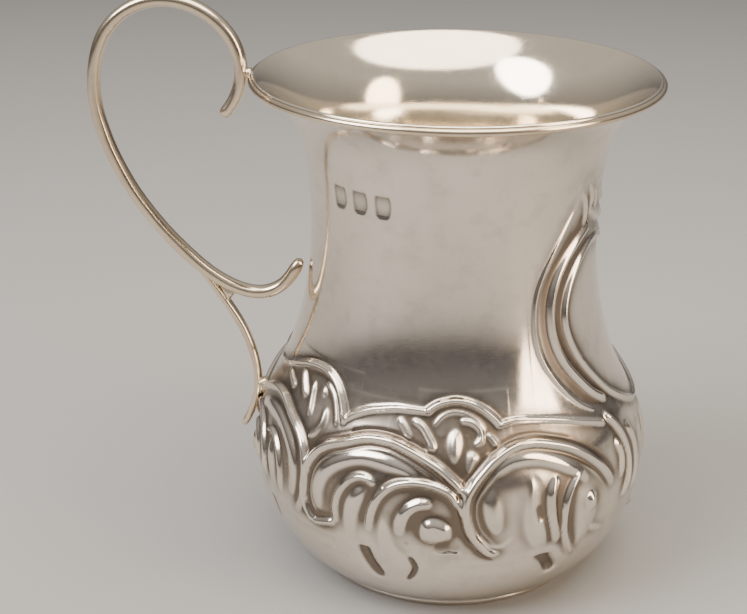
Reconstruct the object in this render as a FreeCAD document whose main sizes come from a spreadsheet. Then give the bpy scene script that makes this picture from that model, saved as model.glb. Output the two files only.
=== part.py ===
import FreeCAD, Part
import math
import os

import Sketcher
from FreeCAD import Placement, Rotation, Vector

# A small silver cream jug of mug form: a raised sheet-silver body with a flared round
# mouth, a narrow waist and a low belly, a drawn wire round the lip, a base disc let into
# the bottom, a foot ring, and a handle bent from two oval wires.
# Frame: +Z up, the jug's axis on Z, the handle towards -X, and the origin on the axis in
# the plane that the foot ring rests on. Lengths are millimetres and angles degrees.

DIMENSIONS = (
    ("wall", 0.65, "thickness of the sheet silver"),
    ("seat_height", 1.3, "underside of the body above the table, the foot ring's height"),
    ("base_disc_radius", 18.0, "radius of the round plate let into the bottom"),
    ("base_turn_arc", 3.3, "radius of the turn from the bottom into the belly"),
    ("belly_centre_radius", 7.7, "distance of the belly arc's centre from the axis"),
    ("belly_centre_height", 18.9, "height of the belly arc's centre"),
    ("belly_arc", 23.2, "radius of the belly's outline"),
    ("shoulder_arc", 20.0, "radius of the hollow between belly and waist"),
    ("waist_radius", 21.9, "outside radius of the body at its narrowest"),
    ("waist_height", 56.0, "height of the narrowest place"),
    ("waist_arc", 62.0, "radius of the waist's outline"),
    ("flare_arc", 16.0, "radius of the flare under the lip"),
    ("lip_radius", 30.35, "outside radius of the sheet at the lip"),
    ("lip_height", 78.2, "height of the sheet's outer corner at the lip"),
    ("rim_wire_centre_radius", 30.5, "distance of the rim wire's centre from the axis"),
    ("rim_wire_height", 77.95, "height of the rim wire's centre"),
    ("rim_wire_radius", 0.55, "radius of the rim wire's section"),
    ("foot_outer_radius", 21.7, "outside radius of the foot ring's flat faces"),
    ("foot_inner_radius", 20.2, "inside radius of the foot ring"),
    ("foot_edge_arc", 1.0, "radius of the foot ring's bulged edge"),
    ("strap_width", 2.6, "width of the handle's wire"),
    ("strap_thickness", 2.0, "thickness of the handle's wire"),
    ("handle_start_x", -35.4, "free end of the handle's curl, across"),
    ("handle_start_z", 71.2, "free end of the handle's curl, up"),
    ("handle_heading", 47.0, "slope of the wire at the curl's free end"),
    ("lower_width", 2.2, "width of the lower wire"),
    ("lower_thickness", 1.3, "thickness of the lower wire"),
    ("lower_start_x", -40.5, "upper end of the lower wire, across"),
    ("lower_start_z", 47.6, "upper end of the lower wire, up"),
    ("lower_heading", -53.8, "slope of the lower wire at its upper end"),
    ("block_width", 2.0, "width of the two small joint blocks"),
    ("rim_block_outer", 31.8, "far side of the rim block from the axis"),
    ("rim_block_inner", 30.7, "near side of the rim block from the axis"),
    ("rim_block_bottom", 77.45, "underside of the rim block"),
    ("rim_block_height", 1.1, "height of the rim block"),
    ("belly_block_outer", 30.7, "far side of the belly block from the axis"),
    ("belly_block_inner", 29.45, "near side of the belly block from the axis"),
    ("belly_block_bottom", 25.2, "underside of the belly block"),
    ("belly_block_height", 2.1, "height of the belly block"),
    ("crotch_width", 2.0, "width of the solder filling the fork of the wires"),
    ("crotch_top_x", -36.9, "solder in the fork, upper corner across"),
    ("crotch_top_z", 43.9, "solder in the fork, upper corner up"),
    ("crotch_right_x", -34.4, "solder in the fork, corner on the handle, across"),
    ("crotch_right_z", 42.45, "solder in the fork, corner on the handle, up"),
    ("crotch_low_x", -35.35, "solder in the fork, corner on the lower wire, across"),
    ("crotch_low_z", 40.9, "solder in the fork, corner on the lower wire, up"),
)

# The two wires as a silversmith bends them: the radius and the angle of each bend in turn.
HANDLE_BENDS = (
    (18.0, 5.5),
    (9.4, 71.5),
    (12.0, 50.0),
    (11.0, 78.5),
    (20.5, 32.5),
    (42.0, 19.0),
    (53.0, 16.0),
    (17.0, 26.0),
    (6.0, 72.0),
    (50.0, 4.0),
)
LOWER_BENDS = (
    (145.0, 4.2),
    (23.5, 29.5),
    (9.5, 19.5),
    (22.5, 14.0),
)
LEFT = 1
RIGHT = -1
FULL_TURN = 360.0

START = 1
END = 2
CENTRE = 3
ORIGIN = (-1, 1)

doc = FreeCAD.newDocument("cream_jug")
sheet = doc.addObject("Spreadsheet::Sheet", "sizes")


def fill_sheet():
    rows = list(DIMENSIONS)
    for wire, bends in (("handle", HANDLE_BENDS), ("lower", LOWER_BENDS)):
        for number, (radius, angle) in enumerate(bends, 1):
            rows.append((f"{wire}_bend{number}_radius", radius, f"{wire} wire, bend {number}"))
            rows.append((f"{wire}_bend{number}_angle", angle, f"{wire} wire, bend {number}"))
    for row, (alias, value, meaning) in enumerate(rows, 1):
        sheet.set(f"A{row}", meaning)
        sheet.set(f"B{row}", str(value))
        sheet.setAlias(f"B{row}", alias)
    doc.recompute()


def size(alias):
    return float(sheet.get(alias))


def origin_plane(body, role):
    return next(plane for plane in body.Origin.OriginFeatures if plane.Role == role)


def new_sketch(body, name, role):
    sketch = body.newObject("Sketcher::SketchObject", name)
    sketch.AttachmentSupport = (origin_plane(body, role), [""])
    sketch.MapMode = "FlatFace"
    return sketch


def bind(sketch, name, expression, kind, *where):
    """Add one dimension to a sketch, named and driven by an expression of the sheet's cells."""
    value = sketch.evalExpression(expression)
    value = float(getattr(value, "Value", value))
    if kind == "Angle":
        value = math.radians(value)
    index = sketch.addConstraint(Sketcher.Constraint(kind, *where, value))
    sketch.renameConstraint(index, name)
    sketch.setExpression(f"Constraints.{name}", expression)


def bind_point(sketch, name, across, up, item, place):
    bind(sketch, f"{name}_across", across, "DistanceX", *ORIGIN, item, place)
    bind(sketch, f"{name}_up", up, "DistanceY", *ORIGIN, item, place)


def add_arc(sketch, centre, first, last):
    """An arc about a centre, anticlockwise from one point to the direction of another."""
    start = math.atan2(first.y - centre.y, first.x - centre.x)
    end = math.atan2(last.y - centre.y, last.x - centre.x)
    if end <= start:
        end += 2 * math.pi
    circle = Part.Circle(centre, Vector(0, 0, 1), (first - centre).Length)
    return sketch.addGeometry(Part.ArcOfCircle(circle, start, end))


def towards(centre, other, reach):
    """The point at a distance from a centre, in the direction of another point."""
    direction = other - centre
    return centre + direction * (reach / direction.Length)


def circles_meet(first, first_radius, second, second_radius, side):
    """Where two circles cross, on the left (1) or right (-1) of the line between centres."""
    line = second - first
    along = (first_radius**2 - second_radius**2 + line.Length**2) / (2 * line.Length)
    across = math.sqrt(first_radius**2 - along**2)
    unit = line / line.Length
    return first + unit * along + Vector(-unit.y, unit.x, 0) * (side * across)


def outline_centres():
    """The centres of the body outline's five arcs, as (distance from the axis, height)."""
    belly = Vector(size("belly_centre_radius"), size("belly_centre_height"), 0)
    turn_height = size("seat_height") + size("base_turn_arc")
    turn_reach = size("belly_arc") - size("base_turn_arc")
    turn_across = math.sqrt(turn_reach**2 - (belly.y - turn_height) ** 2)
    turn = Vector(belly.x + turn_across, turn_height, 0)
    waist = Vector(size("waist_radius") + size("waist_arc"), size("waist_height"), 0)
    shoulder = circles_meet(
        belly,
        size("belly_arc") + size("shoulder_arc"),
        waist,
        size("waist_arc") - size("shoulder_arc"),
        LEFT,
    )
    lip = Vector(size("lip_radius"), size("lip_height"), 0)
    flare = circles_meet(
        lip, size("flare_arc"), waist, size("waist_arc") - size("flare_arc"), RIGHT
    )
    return turn, belly, shoulder, waist, flare, lip


def wall_side(sketch, side, depth, offset):
    """One side of the sheet: five tangent arcs and the flat of the bottom, at a depth in
    millimetres inside the outer face; offset says that depth as an expression."""
    turn, belly, shoulder, waist, flare, lip = outline_centres()
    turn_low = Vector(turn.x, turn.y - size("base_turn_arc") + depth, 0)
    turn_high = towards(belly, turn, size("belly_arc") - depth)
    belly_high = towards(belly, shoulder, size("belly_arc") - depth)
    waist_low = towards(waist, shoulder, size("waist_arc") + depth)
    waist_high = towards(waist, flare, size("waist_arc") + depth)
    lip_end = towards(flare, lip, size("flare_arc") + depth)
    disc_edge = Vector(size("base_disc_radius"), turn_low.y, 0)
    flat = sketch.addGeometry(Part.LineSegment(disc_edge, turn_low))
    arcs = {
        "turn": add_arc(sketch, turn, turn_low, turn_high),
        "belly": add_arc(sketch, belly, turn_high, belly_high),
        "shoulder": add_arc(sketch, shoulder, waist_low, belly_high),
        "waist": add_arc(sketch, waist, waist_high, waist_low),
        "flare": add_arc(sketch, flare, lip_end, waist_high),
    }
    sketch.addConstraint(
        [
            Sketcher.Constraint("Tangent", flat, END, arcs["turn"], START),
            Sketcher.Constraint("Tangent", arcs["turn"], END, arcs["belly"], START),
            Sketcher.Constraint("Tangent", arcs["belly"], END, arcs["shoulder"], END),
            Sketcher.Constraint("Tangent", arcs["shoulder"], START, arcs["waist"], END),
            Sketcher.Constraint("Tangent", arcs["waist"], START, arcs["flare"], END),
            Sketcher.Constraint("Horizontal", flat),
        ]
    )
    signs = {"turn": "-", "belly": "-", "shoulder": "+", "waist": "+", "flare": "+"}
    cells = {"turn": "base_turn_arc"}
    for name, item in arcs.items():
        cell = cells.get(name, f"{name}_arc")
        expression = f"sizes.{cell} {signs[name]} {offset}"
        bind(sketch, f"{side}_{name}_radius", expression, "Radius", item)
    bind_point(
        sketch,
        f"{side}_disc_edge",
        "sizes.base_disc_radius",
        f"sizes.seat_height + {offset}",
        flat,
        START,
    )
    bind_point(
        sketch,
        f"{side}_belly_centre",
        "sizes.belly_centre_radius",
        "sizes.belly_centre_height",
        arcs["belly"],
        CENTRE,
    )
    bind_point(
        sketch,
        f"{side}_waist_centre",
        "sizes.waist_radius + sizes.waist_arc",
        "sizes.waist_height",
        arcs["waist"],
        CENTRE,
    )
    return flat, arcs["flare"], disc_edge, lip_end


def revolve(body, sketch, name):
    turned = body.newObject("PartDesign::Revolution", name)
    turned.Profile = sketch
    turned.ReferenceAxis = (sketch, ["V_Axis"])
    turned.Angle = FULL_TURN
    return turned


def make_body_shell():
    body = doc.addObject("PartDesign::Body", "body_shell")
    sketch = new_sketch(body, "body_outline", "XZ_Plane")
    outer_flat, outer_flare, outer_edge, outer_lip = wall_side(sketch, "outer", 0.0, "0")
    inner_flat, inner_flare, inner_edge, inner_lip = wall_side(
        sketch, "inner", size("wall"), "sizes.wall"
    )
    lip = sketch.addGeometry(Part.LineSegment(outer_lip, inner_lip))
    seam = sketch.addGeometry(Part.LineSegment(inner_edge, outer_edge))
    sketch.addConstraint(
        [
            Sketcher.Constraint("Coincident", lip, START, outer_flare, START),
            Sketcher.Constraint("Coincident", lip, END, inner_flare, START),
            Sketcher.Constraint("PointOnObject", outer_flare, CENTRE, lip),
            Sketcher.Constraint("Horizontal", outer_flare, CENTRE, inner_flare, CENTRE),
            Sketcher.Constraint("Coincident", seam, START, inner_flat, START),
            Sketcher.Constraint("Coincident", seam, END, outer_flat, START),
        ]
    )
    bind_point(sketch, "lip", "sizes.lip_radius", "sizes.lip_height", outer_flare, START)
    revolve(body, sketch, "body_turned")
    return body


def make_base_disc():
    disc = doc.addObject("Part::Cylinder", "base_disc")
    disc.setExpression("Radius", "sizes.base_disc_radius")
    disc.setExpression("Height", "sizes.wall")
    disc.setExpression("Placement.Base.z", "sizes.seat_height")
    return disc


def make_foot_ring():
    body = doc.addObject("PartDesign::Body", "foot_ring")
    sketch = new_sketch(body, "foot_section", "XZ_Plane")
    inner = size("foot_inner_radius")
    outer = size("foot_outer_radius")
    top = size("seat_height")
    bulge = size("foot_edge_arc")
    centre = Vector(outer - math.sqrt(bulge**2 - (top / 2) ** 2), top / 2, 0)
    corners = (Vector(inner, 0, 0), Vector(outer, 0, 0), Vector(outer, top, 0), Vector(inner, top, 0))
    low = sketch.addGeometry(Part.LineSegment(corners[0], corners[1]))
    edge = add_arc(sketch, centre, corners[1], corners[2])
    high = sketch.addGeometry(Part.LineSegment(corners[2], corners[3]))
    inside = sketch.addGeometry(Part.LineSegment(corners[3], corners[0]))
    sketch.addConstraint(
        [
            Sketcher.Constraint("Coincident", low, END, edge, START),
            Sketcher.Constraint("Coincident", edge, END, high, START),
            Sketcher.Constraint("Coincident", high, END, inside, START),
            Sketcher.Constraint("Coincident", inside, END, low, START),
            Sketcher.Constraint("Horizontal", low),
            Sketcher.Constraint("Horizontal", high),
            Sketcher.Constraint("Vertical", inside),
            Sketcher.Constraint("Vertical", edge, START, edge, END),
            Sketcher.Constraint("PointOnObject", low, START, ORIGIN[0]),
        ]
    )
    bind(sketch, "inner_radius", "sizes.foot_inner_radius", "DistanceX", *ORIGIN, low, START)
    bind(sketch, "outer_radius", "sizes.foot_outer_radius", "DistanceX", *ORIGIN, low, END)
    bind(sketch, "height", "sizes.seat_height", "DistanceY", *ORIGIN, high, END)
    bind(sketch, "edge_arc", "sizes.foot_edge_arc", "Radius", edge)
    revolve(body, sketch, "foot_turned")
    return body


def cut(name, base, tools):
    """A piece cut back to meet its neighbours face to face."""
    for number, tool in enumerate(tools, 1):
        is_last = number == len(tools)
        trimmed = doc.addObject("Part::Cut", name if is_last else f"{name}_trim{number}")
        trimmed.Base = base
        trimmed.Tool = tool
        base = trimmed
    return base


def make_rim_wire(shell):
    ring = doc.addObject("Part::Torus", "rim_wire_round")
    ring.setExpression("Radius1", "sizes.rim_wire_centre_radius")
    ring.setExpression("Radius2", "sizes.rim_wire_radius")
    ring.setExpression("Placement.Base.z", "sizes.rim_wire_height")
    return cut("rim_wire", ring, [shell])


def strap_path(body, wire, bend_count, turn):
    """The wire's centre line in the handle's plane: one arc for each bend, each tangent to
    the last, all bent to the same side."""
    sketch = new_sketch(body, f"{wire}_path", "XZ_Plane")
    point = Vector(size(f"{wire}_start_x"), size(f"{wire}_start_z"), 0)
    heading = math.radians(size(f"{wire}_heading"))
    enter, leave = (START, END) if turn == LEFT else (END, START)
    arcs = []
    for number in range(1, bend_count + 1):
        radius = size(f"{wire}_bend{number}_radius")
        angle = math.radians(size(f"{wire}_bend{number}_angle"))
        inward = Vector(-math.sin(heading), math.cos(heading), 0) * turn
        centre = point + inward * radius
        heading += turn * angle
        inward = Vector(-math.sin(heading), math.cos(heading), 0) * turn
        bent_to = centre - inward * radius
        ends = (point, bent_to) if turn == LEFT else (bent_to, point)
        arcs.append(add_arc(sketch, centre, *ends))
        point = bent_to
    for before, after in zip(arcs, arcs[1:]):
        sketch.addConstraint(Sketcher.Constraint("Tangent", before, leave, after, enter))
    for number, arc in enumerate(arcs, 1):
        bend = f"{wire}_bend{number}"
        bind(sketch, f"radius{number}", f"sizes.{bend}_radius", "Radius", arc)
        bind(sketch, f"angle{number}", f"sizes.{bend}_angle", "Angle", arc)
    bind_point(
        sketch, "free_end", f"sizes.{wire}_start_x", f"sizes.{wire}_start_z", arcs[0], enter
    )
    across = f"{-turn} * sizes.{wire}_bend1_radius * sin(sizes.{wire}_heading)"
    bind(sketch, "first_centre", across, "DistanceX", arcs[0], enter, arcs[0], CENTRE)
    return sketch


def strap_section(body, wire, width, thickness):
    """The wire's section at its first end: two flats joined by round edges, square to the wire."""
    sketch = new_sketch(body, f"{wire}_section", "YZ_Plane")
    sketch.AttachmentOffset = Placement(Vector(), Rotation(Vector(-1, 0, 0), 1.0))
    sketch.setExpression("AttachmentOffset.Base.y", f"sizes.{wire}_start_z")
    sketch.setExpression("AttachmentOffset.Base.z", f"sizes.{wire}_start_x")
    sketch.setExpression("AttachmentOffset.Rotation.Angle", f"sizes.{wire}_heading")
    round_radius = size(thickness) / 2
    half_flat = size(width) / 2 - round_radius
    right_low = Vector(half_flat, -round_radius, 0)
    right_high = Vector(half_flat, round_radius, 0)
    left_low = Vector(-half_flat, -round_radius, 0)
    left_high = Vector(-half_flat, round_radius, 0)
    low = sketch.addGeometry(Part.LineSegment(left_low, right_low))
    right = add_arc(sketch, Vector(half_flat, 0, 0), right_low, right_high)
    high = sketch.addGeometry(Part.LineSegment(right_high, left_high))
    left = add_arc(sketch, Vector(-half_flat, 0, 0), left_high, left_low)
    sketch.addConstraint(
        [
            Sketcher.Constraint("Tangent", low, END, right, START),
            Sketcher.Constraint("Tangent", right, END, high, START),
            Sketcher.Constraint("Tangent", high, END, left, START),
            Sketcher.Constraint("Tangent", left, END, low, START),
            Sketcher.Constraint("Horizontal", low),
            Sketcher.Constraint("Symmetric", right, CENTRE, left, CENTRE, *ORIGIN),
        ]
    )
    bind(sketch, "edge_radius", f"sizes.{thickness} / 2", "Radius", right)
    flat_width = f"sizes.{width} - sizes.{thickness}"
    bind(sketch, "flat_width", flat_width, "DistanceX", left, CENTRE, right, CENTRE)
    return sketch


def make_strap(name, wire, bend_count, turn, width, thickness):
    body = doc.addObject("PartDesign::Body", name)
    path = strap_path(body, wire, bend_count, turn)
    section = strap_section(body, wire, width, thickness)
    doc.recompute()
    pipe = body.newObject("PartDesign::AdditivePipe", f"{wire}_wire")
    pipe.Profile = section
    pipe.Spine = (path, [])
    return body


def make_block(name, place, tools):
    """A small square block between the handle and the body."""
    box = doc.addObject("Part::Box", f"{name}_blank")
    box.setExpression("Length", f"sizes.{place}_outer - sizes.{place}_inner")
    box.setExpression("Width", "sizes.block_width")
    box.setExpression("Height", f"sizes.{place}_height")
    box.setExpression("Placement.Base.x", f"-sizes.{place}_outer")
    box.setExpression("Placement.Base.y", "-sizes.block_width / 2")
    box.setExpression("Placement.Base.z", f"sizes.{place}_bottom")
    return cut(name, box, tools)


def make_branch_solder(handle, lower):
    """The wedge of hard solder in the fork, where the lower wire leaves the handle."""
    body = doc.addObject("PartDesign::Body", "branch_solder_blank")
    sketch = new_sketch(body, "fork_outline", "XZ_Plane")
    names = ("crotch_top", "crotch_right", "crotch_low")
    corners = [Vector(size(f"{name}_x"), size(f"{name}_z"), 0) for name in names]
    sides = []
    for first, second in zip(corners, corners[1:] + corners[:1]):
        sides.append(sketch.addGeometry(Part.LineSegment(first, second)))
    for side, following in zip(sides, sides[1:] + sides[:1]):
        sketch.addConstraint(Sketcher.Constraint("Coincident", side, END, following, START))
    for name, side in zip(names, sides):
        bind_point(sketch, name, f"sizes.{name}_x", f"sizes.{name}_z", side, START)
    pad = body.newObject("PartDesign::Pad", "fork_pad")
    pad.Profile = sketch
    pad.setExpression("Length", "sizes.crotch_width")
    pad.Midplane = True
    return cut("branch_solder", body, [handle, lower])


def label(piece, name):
    piece.Label = name
    return piece


def check_document():
    for item in doc.Objects:
        if "Invalid" in item.State or "Error" in item.State:
            raise RuntimeError(f"{item.Label} failed: {item.State}")


def write_pieces(pieces):
    os.makedirs("parts", exist_ok=True)
    for piece in pieces:
        shape = piece.Shape
        if shape.isNull() or not shape.isValid() or len(shape.Solids) != 1:
            raise RuntimeError(f"{piece.Label} is not one valid solid")
        shape.exportStep(f"parts/{piece.Label}.step")
        print(piece.Label, round(shape.Volume, 2), "mm3")


def main():
    fill_sheet()
    shell = label(make_body_shell(), "body_shell")
    disc = label(make_base_disc(), "base_disc")
    foot = label(make_foot_ring(), "foot_ring")
    rim = label(make_rim_wire(shell), "rim_wire")
    handle = label(
        make_strap(
            "handle_scroll", "handle", len(HANDLE_BENDS), LEFT, "strap_width", "strap_thickness"
        ),
        "handle_scroll",
    )
    lower_blank = make_strap(
        "lower_scroll_blank", "lower", len(LOWER_BENDS), RIGHT, "lower_width", "lower_thickness"
    )
    lower = label(cut("lower_scroll", lower_blank, [handle]), "lower_scroll")
    rim_block = label(make_block("rim_block", "rim_block", [handle, rim, shell]), "rim_block")
    belly_block = label(make_block("belly_block", "belly_block", [lower, shell]), "belly_block")
    solder = label(make_branch_solder(handle, lower), "branch_solder")
    doc.recompute()
    check_document()
    write_pieces([shell, disc, foot, rim, handle, lower, rim_block, belly_block, solder])


main()
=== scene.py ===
import math

import bpy
import numpy as np
from mathutils import Matrix, Vector


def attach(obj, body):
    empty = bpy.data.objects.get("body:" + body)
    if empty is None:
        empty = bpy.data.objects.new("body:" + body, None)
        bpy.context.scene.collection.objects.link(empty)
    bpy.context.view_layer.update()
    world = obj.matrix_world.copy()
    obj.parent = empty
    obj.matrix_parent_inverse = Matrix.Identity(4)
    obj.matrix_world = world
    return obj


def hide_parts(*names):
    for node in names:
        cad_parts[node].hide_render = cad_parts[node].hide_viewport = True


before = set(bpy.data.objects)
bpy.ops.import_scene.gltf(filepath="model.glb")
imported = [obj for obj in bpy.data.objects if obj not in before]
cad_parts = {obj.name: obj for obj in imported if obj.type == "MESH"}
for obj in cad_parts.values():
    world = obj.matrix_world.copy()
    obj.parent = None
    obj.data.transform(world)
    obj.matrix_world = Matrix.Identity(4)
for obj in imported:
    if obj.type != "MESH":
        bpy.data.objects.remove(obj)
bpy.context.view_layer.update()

# A silver cream jug. The work is in millimetres, in the CAD's frame: +Z up, the jug's axis
# on Z and the handle towards -X. Meshes are scaled to metres as they are made.
# Places on the body are (turn, climb): turn in degrees round the axis from -Y towards +X,
# and climb in millimetres along the outline from the edge of the base disc up to the lip.
MM = 0.001
SEED = 11

# ---------------------------------------------------------------- sizes, as in the CAD
WALL = 0.65
SEAT = 1.3
DISC_RADIUS = 18.0
TURN_ARC = 3.3
BELLY_CENTRE = (7.7, 18.9)
BELLY_ARC = 23.2
SHOULDER_ARC = 20.0
WAIST_RADIUS = 21.9
WAIST_HEIGHT = 56.0
WAIST_ARC = 62.0
FLARE_ARC = 16.0
LIP = (30.35, 78.2)
RIM_RADIUS = 30.5
RIM_HEIGHT = 77.95
RIM_WIRE = 0.55
HANDLE_START = (-35.4, 71.2)
HANDLE_HEADING = 47.0
HANDLE_BENDS = (
    (18.0, 5.5),
    (9.4, 71.5),
    (12.0, 50.0),
    (11.0, 78.5),
    (20.5, 32.5),
    (42.0, 19.0),
    (53.0, 16.0),
    (17.0, 26.0),
    (6.0, 72.0),
    (50.0, 4.0),
)
LOWER_START = (-40.5, 47.6)
LOWER_HEADING = -53.8
LOWER_BENDS = (
    (145.0, 4.2),
    (23.5, 29.5),
    (9.5, 19.5),
    (22.5, 14.0),
)
HANDLE_WIDTH = 2.6
HANDLE_THICKNESS = 2.0
LOWER_WIDTH = 2.2
LOWER_THICKNESS = 1.3
FOOT_INNER = 20.2

# The wire's section: 1 is an ellipse, and a smaller value is nearer to a rectangle.
WIRE_ROUNDNESS = 0.82

# ---------------------------------------------------------------- the body's outline


def arc_points(centre, radius, first, last, step=0.2):
    """Points on an arc between two angles, the first left out."""
    count = max(2, int(abs(last - first) * radius / step))
    angles = np.linspace(first, last, count + 1)[1:]
    return [(centre[0] + radius * math.cos(a), centre[1] + radius * math.sin(a)) for a in angles]


def circles_meet(first, r1, second, r2, side):
    """Where two circles cross, to the left (1) or right (-1) of the line between centres."""
    line = np.subtract(second, first)
    length = np.hypot(*line)
    along = (r1**2 - r2**2 + length**2) / (2 * length)
    across = math.sqrt(r1**2 - along**2)
    unit = line / length
    return tuple(np.array(first) + unit * along + np.array((-unit[1], unit[0])) * side * across)


def angle_of(centre, point):
    return math.atan2(point[1] - centre[1], point[0] - centre[0])


def smooth_along(values, reach):
    """A Gaussian smoothing of rows of values, the two ends held."""
    radius = int(reach * 3)
    kernel = np.exp(-0.5 * (np.arange(-radius, radius + 1) / reach) ** 2)
    kernel /= kernel.sum()
    first, last = values[:1], values[-1:]
    before = 2 * first - values[radius:0:-1]
    after = 2 * last - values[-2 : -radius - 2 : -1]
    padded = np.concatenate([before, values, after])
    columns = [np.convolve(padded[:, k], kernel, "valid") for k in range(values.shape[1])]
    return np.stack(columns, 1)


def resample(points, step):
    lengths = np.hypot(*np.diff(points, axis=0).T)
    along = np.concatenate([[0], np.cumsum(lengths)])
    places = np.linspace(0, along[-1], int(along[-1] / step) + 1)
    return np.stack([np.interp(places, along, points[:, k]) for k in (0, 1)], 1)


def outline():
    belly = BELLY_CENTRE
    low = SEAT + TURN_ARC
    reach = BELLY_ARC - TURN_ARC
    turn = (belly[0] + math.sqrt(reach**2 - (belly[1] - low) ** 2), low)
    waist = (WAIST_RADIUS + WAIST_ARC, WAIST_HEIGHT)
    shoulder = circles_meet(belly, BELLY_ARC + SHOULDER_ARC, waist, WAIST_ARC - SHOULDER_ARC, 1)
    flare = circles_meet(LIP, FLARE_ARC, waist, WAIST_ARC - FLARE_ARC, -1)
    points = [(DISC_RADIUS, SEAT), (turn[0], SEAT)]
    points += arc_points(turn, TURN_ARC, -math.pi / 2, angle_of(belly, turn))
    points += arc_points(belly, BELLY_ARC, angle_of(belly, turn), angle_of(belly, shoulder))
    half = 2 * math.pi
    points += arc_points(
        shoulder, SHOULDER_ARC, angle_of(shoulder, belly) % half, angle_of(waist, shoulder) % half
    )
    points += arc_points(
        waist, WAIST_ARC, angle_of(waist, shoulder) % half, angle_of(waist, flare) % half
    )
    points += arc_points(
        flare, FLARE_ARC, angle_of(waist, flare) % half, angle_of(flare, LIP) % half
    )
    fine = resample(np.array(points), 0.1)
    return resample(smooth_along(fine, 9), 0.1)


OUTLINE = outline()
OUTLINE_CLIMB = np.concatenate([[0], np.cumsum(np.hypot(*np.diff(OUTLINE, axis=0).T))])
OUTLINE_SLOPE = np.gradient(OUTLINE, OUTLINE_CLIMB, axis=0)
TOP_CLIMB = float(OUTLINE_CLIMB[-1])


def on_outline(climb):
    """Radius and height of the outer face, and its outward direction, at each climb."""
    values = [np.interp(climb, OUTLINE_CLIMB, OUTLINE[:, k]) for k in (0, 1)]
    slopes = [np.interp(climb, OUTLINE_CLIMB, OUTLINE_SLOPE[:, k]) for k in (0, 1)]
    size = np.hypot(*slopes)
    return values[0], values[1], slopes[1] / size, -slopes[0] / size


# ---------------------------------------------------------------- the chased relief
# Each motif is drawn on one half of the body, from the handle (turn -90) by the front
# (turn 0) to the side opposite the handle (turn 90), and the far half mirrors it, apart
# from the punches, which the near half has alone.
HALF_COLUMNS = 451
TURNS = np.linspace(-90, 90, HALF_COLUMNS)
CLIMBS = np.concatenate(
    [
        np.arange(0, 12, 0.6),
        np.arange(12, 46, 0.22),
        np.arange(46, 75, 0.36),
        np.linspace(75, TOP_CLIMB, 24),
    ]
)
FACE_R, FACE_Z, OUT_R, OUT_Z = on_outline(CLIMBS)
GRID = np.stack(
    [
        FACE_R[None] * np.sin(np.radians(TURNS))[:, None],
        -FACE_R[None] * np.cos(np.radians(TURNS))[:, None],
        np.broadcast_to(FACE_Z[None], (HALF_COLUMNS, len(CLIMBS))),
    ],
    2,
)
height = np.zeros((HALF_COLUMNS, len(CLIMBS)))
matting = np.zeros_like(height)
random = np.random.default_rng(SEED)


def in_space(places):
    """(turn, climb) pairs as points on the plain body."""
    places = np.asarray(places, float)
    radius, up, _, _ = on_outline(places[:, 1])
    turn = np.radians(places[:, 0])
    return np.stack([radius * np.sin(turn), -radius * np.cos(turn), up], 1)


def flowing(places, per_span=10, closed=False):
    """A smooth line through the places."""
    p = np.asarray(places, float)
    if closed:
        p = np.concatenate([p[-1:], p, p[:2]])
    else:
        p = np.concatenate([2 * p[:1] - p[1:2], p, 2 * p[-1:] - p[-2:-1]])
    t = np.linspace(0, 1, per_span, endpoint=False)[:, None]
    spans = []
    for a, b, c, d in zip(p, p[1:], p[2:], p[3:]):
        spans.append(
            0.5 * (
                2 * b + (c - a) * t + (2 * a - 5 * b + 4 * c - d) * t**2 + (3 * b - a - 3 * c + d) * t**3
            )
        )
    if not closed:
        spans.append(p[-2:-1])
    return np.concatenate(spans)


def window(places, margin):
    """The block of the grid that lies within a margin, in millimetres, of the places."""
    radius = max(8.0, float(np.min(on_outline(places[:, 1])[0])) - 2)
    spread = math.degrees(margin / radius)
    columns = np.nonzero(
        (TURNS > places[:, 0].min() - spread) & (TURNS < places[:, 0].max() + spread)
    )[0]
    rows = np.nonzero((CLIMBS > places[:, 1].min() - margin) & (CLIMBS < places[:, 1].max() + margin))[0]
    return slice(columns[0], columns[-1] + 1), slice(rows[0], rows[-1] + 1)


def nearest(block, line):
    """Distance from each grid point of a block to a line, and how far along the line."""
    points = GRID[block].reshape(-1, 3)
    starts, steps = line[:-1], np.diff(line, axis=0)
    sizes = (steps**2).sum(1) + 1e-9
    best = np.full(len(points), 1e9)
    along = np.zeros(len(points))
    for k, (start, step, size) in enumerate(zip(starts, steps, sizes)):
        part = np.clip(((points - start) @ step) / size, 0, 1)
        gap = ((points - start - part[:, None] * step) ** 2).sum(1)
        closer = gap < best
        best[closer] = gap[closer]
        along[closer] = (k + part[closer]) / len(steps)
    shape = GRID[block].shape[:2]
    return np.sqrt(best).reshape(shape), along.reshape(shape)


def softer_max(a, b, blend=0.12):
    """The larger of two heights, rounded where they meet."""
    mix = np.clip(0.5 + 0.5 * (a - b) / blend, 0, 1)
    return b + (a - b) * mix + blend * mix * (1 - mix)


def taper(along, first, last):
    """How full a line is: it fades over the given shares of its length at each end."""
    start = np.clip(along / max(first, 1e-6), 0, 1)
    end = np.clip((1 - along) / max(last, 1e-6), 0, 1)
    return np.sqrt(np.clip(start * (2 - start), 0, 1) * np.clip(end * (2 - end), 0, 1))


def line_relief(places, width, rise, ends=(0.08, 0.08), crown=1.0):
    """A raised (or, with a negative rise, sunk) line with a rounded section. A crown below 1
    makes it flatter on top and steeper at the sides."""
    path = flowing(places)
    block = window(path, width)
    gap, along = nearest(block, in_space(path))
    full = taper(along, *ends)
    share = np.clip(gap / (width / 2 * (0.35 + 0.65 * full) + 1e-6), 0, 1)
    section = (1 - share**2) ** (1.6 * crown)
    shape = rise * section * full
    if rise > 0:
        height[block] = softer_max(shape, height[block])
    else:
        height[block] += shape
    return path


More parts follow.
